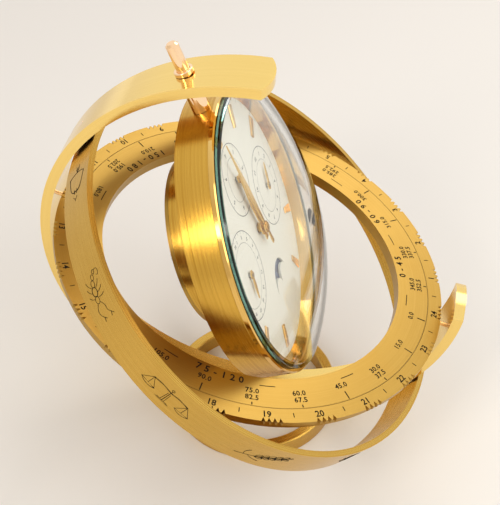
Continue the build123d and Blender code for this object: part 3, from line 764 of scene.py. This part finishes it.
mane = [(3.9 * math.cos(a) * (1 + 0.16 * (-1) ** step), 3.7 * math.sin(a) * (1 + 0.16 * (-1) ** step))
        for step, a in enumerate([math.pi / 9 * step for step in range(19)])]
zodiacFigures = [
    # archer's bow
    [[(-3, 4.6), (1.6, 3.6), (3.4, 1.6), (3.0, 0), (3.4, -1.6), (1.6, -3.6), (-3, -4.6)],
     [(-3, 4.6), (-5, 0), (-3, -4.6)],
     [(-5, 0), (6.6, 0)], [(5.0, 1.2), (6.8, 0), (5.0, -1.2)], [(-5, 0), (-6.6, 1.1)], [(-5, 0), (-6.6, -1.1)],
     [(-4, 0), (-5.6, 1.1)], [(-4, 0), (-5.6, -1.1)], [(2.4, 0.9), (4.0, 0.6)], [(2.4, -0.9), (4.0, -0.6)]],
    # scorpion
    [eye(0, -0.6, 1.5), eye(2.4, -0.9, 1.2), eye(-2.3, -0.1, 1.1), eye(-4.1, 0.8, 0.9), eye(-5.4, 2.1, 0.7),
     [(-5.8, 2.8), (-6.2, 4.2), (-4.8, 5.0), (-3.6, 4.1), (-4.2, 3.4)],
     [(3.2, 0.0), (4.6, 1.8), (6.6, 1.4), (7.4, 3.0)], [(3.4, -1.6), (5.0, -3.2), (6.9, -2.7), (7.8, -1.4)],
     [(7.4, 3.0), (8.6, 2.4)], [(7.4, 3.0), (8.2, 4.0)], [(7.8, -1.4), (9.0, -1.8)], [(7.8, -1.4), (8.4, -0.4)],
     [(-1, 0.8), (-1.8, 2.6), (-3.0, 3.2)], [(0.4, 0.9), (0.2, 2.8), (-0.8, 3.8)],
     [(1.8, 0.4), (2.2, 2.4), (1.4, 3.6)],
     [(-1.4, -1.4), (-2.4, -3.2), (-3.8, -3.6)], [(0, -2.1), (-0.6, -3.6), (-1.8, -4.2)],
     [(1.8, -2.0), (1.6, -3.6), (0.6, -4.4)]],
    # scales
    [[(0, 3.4), (0, -3.6)], [(-0.5, 1.5), (-0.7, -3.6)], [(0.5, 1.5), (0.7, -3.6)], [(-2.6, -3.9), (2.6, -3.9)],
     [(-2.0, -3.5), (2.0, -3.5)], eye(0, 3.9, 0.5), [(-6.6, 2.4), (-3.4, 3.3), (0, 2.4), (3.4, 3.3),
                                                     (6.6, 2.4)],
     [(-6.6, 2.1), (-3.4, 3.0), (0, 2.1), (3.4, 3.0), (6.6, 2.1)]]
    + mirrored([[(-6.6, 2.4), (-9.2, -2.0)], [(-6.6, 2.4), (-4.2, -2.0)], [(-9.4, -2.0), (-4.0, -2.0)],
                [(-9.4, -2.0), (-8.2, -3.1), (-5.2, -3.1), (-4.0, -2.0)], [(-6.6, 2.4), (-6.6, -2.0)]]),
    # ear of wheat
    [[(-9, -3.4), (-4, -2.2), (1, -0.4), (6, 1.8), (9, 3.6)]]
    + [[(u, 0.42 * u - 0.9), (u + 0.2, 0.42 * u + 1.0), (u + 2.2, 0.42 * u + 1.9), (u + 1.6, 0.42 * u),
        (u, 0.42 * u - 0.9)]
       for u in (-2.4, -0.4, 1.6, 3.6, 5.6)]
    + [[(u, 0.42 * u - 0.9), (u + 1.7, 0.42 * u - 1.8), (u + 3.4, 0.42 * u - 0.9), (u + 1.6, 0.42 * u - 0.2),
        (u, 0.42 * u - 0.9)]
       for u in (-2.4, -0.4, 1.6, 3.6, 5.6)] + [[(-6, -2.7), (-7.2, -0.4), (-5.4, 1.4)],
                                                [(-4.6, -2.3), (-2.6, -4.0), (0.2, -4.2)]],
    # lion's mane
    [mane, eye(0, 0, 2.3), eye(-0.8, 0.5, 0.28), eye(0.8, 0.5, 0.28), [(-0.6, -0.5), (0, -0.9), (0.6, -0.5)],
     [(0, -0.9), (0, -1.4)], [(-0.8, -1.5), (0, -1.4), (0.8, -1.5)]]
    + mirrored([[(-1.0, -0.9), (-2.2, -0.6)], [(-1.0, -1.1), (-2.1, -1.2)]]),
    # crab
    [[(-3.4, 0), (-2.2, 1.9), (2.2, 1.9), (3.4, 0), (2.2, -2.1), (-2.2, -2.1), (-3.4, 0)],
     [(-2.2, 0.6), (0, 1.1), (2.2, 0.6)],
     eye(-0.8, 2.5, 0.35), eye(0.8, 2.5, 0.35)]
    + mirrored([[(-3.0, 1.0), (-5.0, 1.8), (-5.6, 3.4)], [(-5.6, 3.4), (-6.8, 4.2), (-5.6, 5.0), (-4.6, 4.2),
                                                          (-5.6, 3.4)],
                [(-3.3, 0), (-5.6, 0.2), (-7.0, -1.0)], [(-3.0, -0.9), (-5.0, -1.4), (-6.2, -2.8)],
                [(-2.2, -1.9), (-3.6, -2.8), (-4.4, -4.2)]]),
    # twins
    mirrored([eye(-2.6, 3.6, 0.9), [(-2.6, 2.6), (-3.8, 1.8), (-3.6, -0.6), (-3.4, -4.2)],
              [(-2.6, 2.6), (-1.5, 1.8), (-1.7, -0.6), (-1.9, -4.2)],
              [(-2.6, -0.8), (-2.6, -4.2)], [(-3.8, 1.6), (-5.4, 0.2), (-5.0, -1.6)], [(-1.5, 1.6), (0, 0.9)],
              [(-3.4, -4.2), (-4.4, -4.4)], [(-1.9, -4.2), (-1.1, -4.4)], [(-3.6, -0.6), (-1.7, -0.6)]]),
    # bull's head
    [[(-2.6, 1.6), (-1.8, -2.0), (-1.2, -3.8), (1.2, -3.8), (1.8, -2.0), (2.6, 1.6)],
     [(-2.6, 1.6), (0, 2.5), (2.6, 1.6)],
     [(-1.0, -3.0), (0, -2.6), (1.0, -3.0)], eye(-0.5, -3.3, 0.2), eye(0.5, -3.3, 0.2)]
    + mirrored([[(-2.0, 2.0), (-4.6, 1.6), (-6.2, 3.0), (-5.8, 4.8)],
                [(-2.6, 1.4), (-5.0, 0.6), (-7.2, 2.6), (-5.8, 4.8)],
                [(-2.6, 0.9), (-4.6, -0.6), (-3.6, -1.2), (-2.3, -0.2)], eye(-1.2, 0.1, 0.3)]),
    # ram's head
    [[(-1.6, 2.4), (-1.6, -1.0), (-0.8, -3.8), (0.8, -3.8), (1.6, -1.0), (1.6, 2.4), (-1.6, 2.4)],
     [(-0.6, -3.0), (0, -2.6), (0.6, -3.0)]]
    + mirrored([[(-0.8, 2.4), (-2.8, 4.6), (-5.4, 3.6), (-5.6, 0.8), (-3.6, -0.4), (-2.4, 1.0), (-3.4, 2.2)],
                [(-1.6, 1.4), (-2.8, 3.2), (-4.4, 2.8), (-4.6, 1.2), (-3.6, 0.6)], eye(-0.8, 0.4, 0.25)]),
    # fishes
    [[(-7.6, 2.0), (-4.6, 4.0), (-0.8, 2.6), (-4.6, 0.8), (-7.6, 2.0)],
     [(-0.8, 2.6), (1.2, 3.8), (1.0, 1.6), (-0.8, 2.6)],
     [(7.6, -2.0), (4.6, -4.0), (0.8, -2.6), (4.6, -0.8), (7.6, -2.0)],
     [(0.8, -2.6), (-1.2, -3.8), (-1.0, -1.6), (0.8, -2.6)],
     eye(-6.0, 2.4, 0.25), eye(6.0, -2.4, 0.25), [(-7.6, 2.0), (-9.0, 0), (-3.0, -0.6), (3.0, 0.6), (9.0, 0),
                                                  (7.6, -2.0)],
     [(-4.8, 3.6), (-4.2, 2.4), (-4.8, 1.2)], [(4.8, -3.6), (4.2, -2.4), (4.8, -1.2)]],
    # water jar
    [[(-6.0, 4.2), (-2.6, 4.4), (-1.2, 2.2), (-2.8, 0.2), (-5.6, 0.6), (-6.8, 2.4), (-6.0, 4.2)],
     [(-1.6, 3.6), (-0.2, 3.2), (-0.6, 1.4), (-1.5, 1.4)],
     [(-0.3, 2.4), (2.2, 1.6), (3.6, -0.6), (4.0, -2.4)], [(-0.4, 1.7), (1.6, 0.9), (2.8, -0.9), (3.0, -2.4)]]
    + [[(-7.5 + 2.5 * k, level + 0.6 * (k % 2)) for k in range(7)] for level in (-2.6, -3.6, -4.6)],
    # goat
    [[(-6.6, 1.2), (-5.2, 2.4), (-3.4, 2.0), (-1.0, 0.8), (2.0, 0.9), (4.4, -0.4), (5.6, -2.6), (7.6, -3.0),
      (8.2, -1.4), (6.8, -0.6)],
     [(-6.6, 1.2), (-5.6, 0.2), (-4.2, 0.2), (-3.4, -1.2), (0, -1.8), (3.0, -2.2), (5.6, -2.6)],
     [(-5.0, 2.4), (-4.0, 4.4), (-1.8, 5.0)], [(-4.4, 2.4), (-3.0, 3.8), (-0.8, 4.0)],
     [(-3.2, -1.2), (-4.4, -3.0), (-3.6, -4.6)],
     [(-2.0, -1.6), (-2.2, -3.2), (-1.2, -4.6)], eye(-5.2, 1.5, 0.22), [(-6.0, 0.4), (-6.4, -0.8)]]]


def engraved(stroke, angle, radius, wide):
    # one engraved line: a curve that follows the band's face, half sunk in it
    s = figureSettings
    curve = bpy.data.curves.new("stroke", "CURVE")
    curve.dimensions = "3D"
    curve.bevel_depth = wide
    curve.bevel_resolution = 0
    curve.resolution_u = 3
    line = curve.splines.new("NURBS")
    line.points.add(len(stroke) - 1)
    for point, (u, v) in zip(line.points, stroke):
        turn = angle + u * s["along"] * mm / radius
        spot = zodiacPlace @ Vector((radius * math.cos(turn), radius * math.sin(turn), v * s["across"] * mm))
        point.co = (*spot, 1.0)
    line.use_endpoint_u = True
    line.order_u = 3
    made = bpy.data.objects.new("stroke", curve)
    bpy.context.scene.collection.objects.link(made)
    return made


def buildZodiac():
    s = figureSettings
    strokes = []
    radius = zodiacSize["outer"] - 0.02 * mm
    for index, figure in enumerate(zodiacFigures):
        angle = math.radians(s["first"] + s["step"] * index)
        for number, stroke in enumerate(figure):
            strokes.append(engraved(stroke, angle, radius, s["thick"] if number == 0 else s["thin"]))
    pickOnly(*strokes)
    bpy.ops.object.convert(target="MESH")
    dress(joinAll(strokes, "zodiac_figures"), inkAndShadeBlack, "black_plastic", "sphere")


buildZodiac()

# the dial's printing

print("dial printing")
dialSize = reach("dial", casePlace)
dialSettings = {"ink": 0.02 * mm, "line": 0.13 * mm, "minuteRadius": 51.0 * mm,
                "minuteTick": (0.14 * mm, 1.1 * mm),
                "fiveTick": (0.26 * mm, 1.7 * mm), "subTick": (0.13 * mm, 0.8 * mm)}
subdialSettings = {
    "day": {"joint": "day_turn", "outer": 14.0, "figures": [str(n) for n in range(1, 8)], "figureRadius": 10.9,
            "size": 2.3, "ticks": 7},
    "date": {"joint": "date_turn", "outer": 17.0, "figures": [str(n) if n % 2 else "" for n in range(1, 32)],
             "figureRadius": 14.4, "size": 1.9, "ticks": 31},
    "month": {"joint": "month_turn", "outer": 16.5, "figures": [str(n) for n in range(1, 13)],
              "figureRadius": 13.4,
              "size": 2.3, "ticks": 12},
}


def printPlace(place, turn, radius, level):
    # turn runs clockwise from twelve, and figures stand with their tops outwards
    return place @ Matrix.Rotation(-turn, 4, "Z") @ Matrix.Translation((0, radius, level))


def buildDial():
    s = dialSettings
    face = dialSize["high"]
    figures, marks = [], []
    fine = bar(s["minuteTick"][0], s["minuteTick"][1], 2 * s["ink"])
    marks.append(copies(fine, [printPlace(casePlace, 2 * math.pi * n / 60, s["minuteRadius"], face)
                               for n in range(60) if n % 5], "minute_ticks"))
    five = bar(s["fiveTick"][0], s["fiveTick"][1], 2 * s["ink"])
    marks.append(copies(five, [printPlace(casePlace, 2 * math.pi * n / 12, s["minuteRadius"] - 0.3 * mm, face)
                               for n in range(12)], "five_ticks"))
    inverse = casePlace.inverted()
    for name, sub in subdialSettings.items():
        spot = inverse @ Vector(joints[sub["joint"]]["pos_m"])
        place = casePlace @ Matrix.Translation((spot.x, spot.y, 0))
        marks.append(wireRing(name + "_rim", sub["outer"] * mm, s["line"], place, face, 96))
        marks.append(wireRing(name + "_inner_rim", (sub["figureRadius"] - sub["size"]) * mm, s["line"] * 0.5,
                              place, face, 72))
        count = sub["ticks"]
        tick = bar(s["subTick"][0], s["subTick"][1], 2 * s["ink"])
        marks.append(copies(tick, [printPlace(place, 2 * math.pi * n / count, (sub["outer"] - 0.7) * mm, face)
                                   for n in range(count)], name + "_ticks"))
        for index, words in enumerate(sub["figures"]):
            if words:
                figure = letters(words, sub["size"] * mm, s["ink"])
                turn = 2 * math.pi * (index + 1) / count
                figures.append(settle(figure, printPlace(place, turn, sub["figureRadius"] * mm, face)))
    dress(joinAll(figures, "dial_figures"), inkGrey, "black_plastic", "case")
    dress(joinAll(marks, "dial_marks"), inkGrey, "black_plastic", "case")


buildDial()

# two moons and their stars on the moon disc

moonSettings = {"moonRadius": 3.9 * mm, "moonAt": 5.3 * mm, "thick": 0.12 * mm, "starRadius": 0.42 * mm,
                "stars": ((0.8, 5.6), (-1.5, 3.6), (1.9, 3.2), (-0.6, 7.4), (0.9, -5.2), (-1.8, -3.5),
                          (1.6, -7.0))}


def buildMoons():
    s = moonSettings
    discSize = reach("moon_disc", casePlace)
    spot = casePlace.inverted() @ Vector(joints["moon_turn"]["pos_m"])
    place = casePlace @ Matrix.Translation((spot.x, spot.y, discSize["high"]))
    pieces = []
    for side in (-1, 1):
        bpy.ops.mesh.primitive_cylinder_add(vertices=48, radius=s["moonRadius"], depth=2 * s["thick"],
                                            location=(0, 0, 0))
        moon = fresh("painted_moon")
        edge = moon.modifiers.new("softEdge", "BEVEL")
        edge.width = s["thick"] * 0.8
        edge.segments = 2
        applyAll(moon)
        pieces.append(settle(moon, place @ Matrix.Translation((side * s["moonAt"], 0, 0))))
    for x, y in s["stars"]:
        bpy.ops.mesh.primitive_circle_add(vertices=10, radius=s["starRadius"], fill_type="NGON",
                                          location=(0, 0, 0))
        star = fresh("painted_star")
        for index, vertex in enumerate(star.data.vertices):
            if index % 2:
                vertex.co *= 0.42
        thick = star.modifiers.new("thickness", "SOLIDIFY")
        thick.thickness = s["thick"]
        thick.offset = 0
        applyAll(star)
        pieces.append(settle(star, place @ Matrix.Translation((x * mm, y * mm, s["thick"] * 0.3))))
    dress(joinAll(pieces, "painted_moons"), moonGold, "hand_gilt", "moon")


buildMoons()

# the back: a cell hatch and a turning mark beside the knob

print("back details")
backSettings = {"hatchAt": (11.0, 9.0), "hatchRadius": 9.6 * mm, "proud": 0.45 * mm,
                "slot": (9.0 * mm, 1.3 * mm),
                "arrowRadius": 7.2 * mm, "arrowWide": 0.35 * mm, "tipLong": 1.9 * mm,
                "rim": 1.1 * mm, "step": 0.15 * mm, "sink": 0.2 * mm, "ease": 0.12 * mm}


def buildBack():
    s = backSettings
    low = reach("rear_cover", casePlace)["low"]
    backPlace = casePlace @ Matrix.Translation((0, 0, low)) @ Matrix.Rotation(math.pi, 4, "Y")
    bpy.ops.mesh.primitive_cylinder_add(vertices=96, radius=s["hatchRadius"], depth=2 * s["proud"],
                                        location=(0, 0, 0))
    hatch = fresh("cell_hatch")
    bpy.ops.object.mode_set(mode="EDIT")
    mesh = bmesh.from_edit_mesh(hatch.data)
    for face in mesh.faces:
        face.select_set(face.normal.z > 0.9)
    bmesh.update_edit_mesh(hatch.data)
    bpy.ops.mesh.inset(thickness=s["rim"])
    bpy.ops.mesh.inset(thickness=s["step"], depth=-s["sink"])
    bpy.ops.object.mode_set(mode="OBJECT")
    edge = hatch.modifiers.new("softEdge", "BEVEL")
    edge.width = s["ease"]
    edge.segments = 2
    edge.limit_method = "ANGLE"
    applyAll(hatch)
    bpy.ops.object.shade_smooth_by_angle(angle=math.radians(35))
    hatchX, hatchY = s["hatchAt"]
    hatchPlace = backPlace @ Matrix.Translation((-hatchX * mm, hatchY * mm, 0))
    settle(hatch, hatchPlace)
    dress(hatch, finishes["rear_cover"], "brushed_gilt", "case")
    # the hatch slot is a thin black plate laid on the hatch face: painted shade standing in for the slot's dark
    # recess
    slot = bar(s["slot"][0], s["slot"][1], 0.1 * mm)
    slot.name = "hatch_slot"
    slotPlace = backPlace @ Matrix.Translation((-hatchX * mm, hatchY * mm, s["proud"] - 0.18 * mm))
    settle(slot, slotPlace @ Matrix.Rotation(0.6, 4, "Z"))
    dress(slot, inkAndShadeBlack, "black_plastic", "case")
    knob = casePlace.inverted() @ Vector(joints["setting_turn"]["pos_m"])
    knobPlace = backPlace @ Matrix.Translation((-knob.x, knob.y, 0))
    thick = 2 * timeSettings["ink"]
    dash = bar(s["arrowWide"], 1.0 * mm, thick)
    steps = 14
    places = [turnPlace(knobPlace, math.radians(30 + 120 * step / steps), s["arrowRadius"], 0, math.pi / 2)
              for step in range(steps + 1)]
    shaft = copies(dash, places, "arrow_shaft")
    tips = []
    for side in (-1, 1):
        tip = bar(s["arrowWide"], s["tipLong"], thick)
        end = turnPlace(knobPlace, math.radians(153), s["arrowRadius"], 0, math.pi / 2)
        tips.append(settle(tip, end @ Matrix.Rotation(side * 0.6, 4,
                                                      "Z") @ Matrix.Translation((0, -0.8 * mm, 0))))
    dress(joinAll([shaft] + tips, "turning_mark"), inkAndShadeBlack, "black_plastic", "case")


buildBack()

# close

bpy.context.scene.view_settings.view_transform = "Standard"
